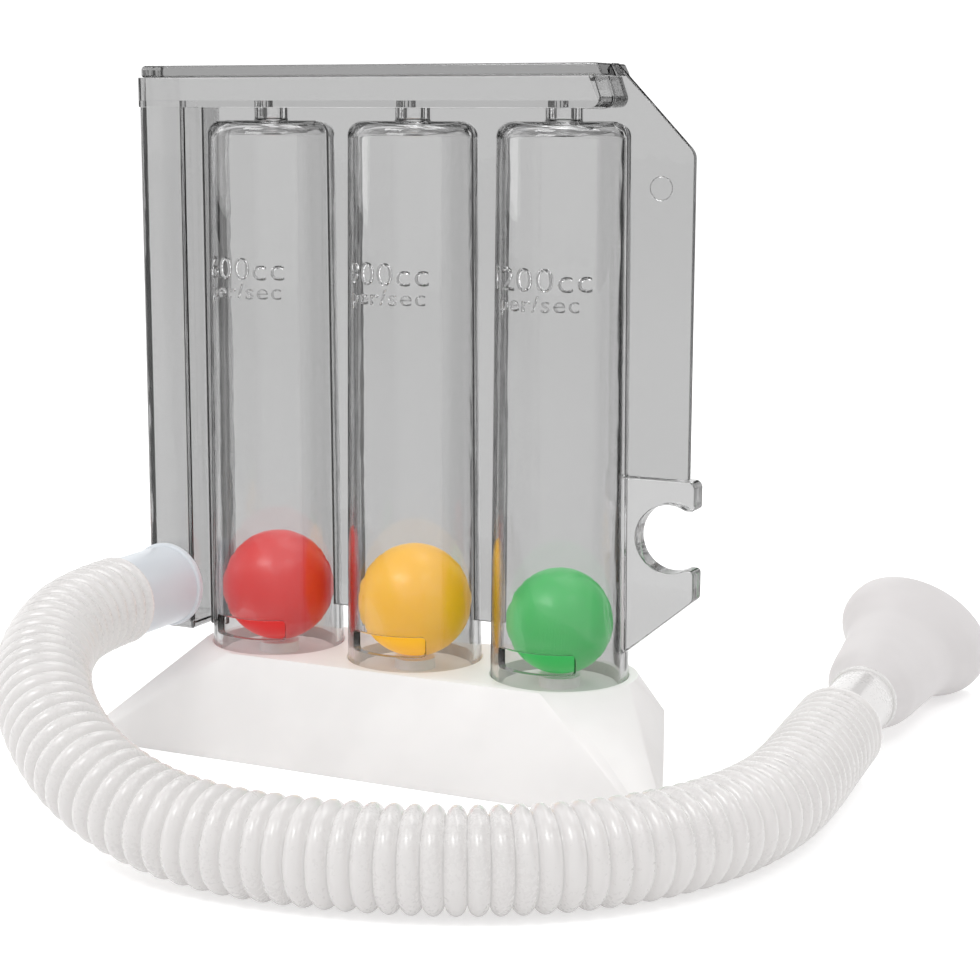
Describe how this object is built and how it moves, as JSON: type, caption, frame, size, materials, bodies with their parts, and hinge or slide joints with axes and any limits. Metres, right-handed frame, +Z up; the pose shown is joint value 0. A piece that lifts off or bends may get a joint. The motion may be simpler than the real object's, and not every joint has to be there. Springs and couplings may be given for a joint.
{
  "type": "incentive spirometer",
  "caption": "Breathing exerciser: clear upright tubes with a loose ball each, joined by a top channel and side duct, on a white base, with a corrugated hose and mouthpiece.",
  "frame": {"origin": "on the floor, under the middle of the base", "axes": "+Z up, +X along the tube row towards the hose clip, +Y to the back; the air windows face -Y"},
  "size_m": [0.1747, 0.2102, 0.15],
  "materials": {
    "clear_body": "clear smoky moulded plastic",
    "clear_lid": "clear smoky moulded plastic",
    "base_white": "satin white moulded plastic",
    "ball_red": "satin",
    "ball_yellow": "satin",
    "ball_green": "satin",
    "hose_plastic": "translucent soft plastic",
    "mouthpiece_plastic": "translucent white plastic"
  },
  "bodies": {
    "housing": {"tube_red": "clear_body", "tube_yellow": "clear_body", "tube_green": "clear_body", "web_duct": "clear_body", "web_left": "clear_body", "web_right": "clear_body", "air_duct": "clear_body", "port": "clear_body", "manifold_tray": "clear_body", "grip_fin": "clear_body", "hose_clip": "clear_body", "manifold_lid": "clear_lid", "base": "base_white", "hose": "hose_plastic", "hose_cuff": "hose_plastic", "mouth_cuff": "hose_plastic"},
    "red_float": {"ball_red": "ball_red"},
    "yellow_float": {"ball_yellow": "ball_yellow"},
    "green_float": {"ball_green": "ball_green"},
    "mouth_end": {"mouthpiece": "mouthpiece_plastic"}
  },
  "joints": [
    {"name": "red_ball_rise", "type": "slide", "parent": "housing", "child": "red_float", "axis": [0, 0, 1], "range_m": [0, 0.0905]},
    {"name": "yellow_ball_rise", "type": "slide", "parent": "housing", "child": "yellow_float", "axis": [0, 0, 1], "range_m": [0, 0.0905]},
    {"name": "green_ball_rise", "type": "slide", "parent": "housing", "child": "green_float", "axis": [0, 0, 1], "range_m": [0, 0.0927]},
    {"name": "mouthpiece_pull", "type": "slide", "parent": "housing", "child": "mouth_end", "axis": [-0.0499, 0.9981, 0.0374], "range_m": [0, 0.014]}
  ]
}
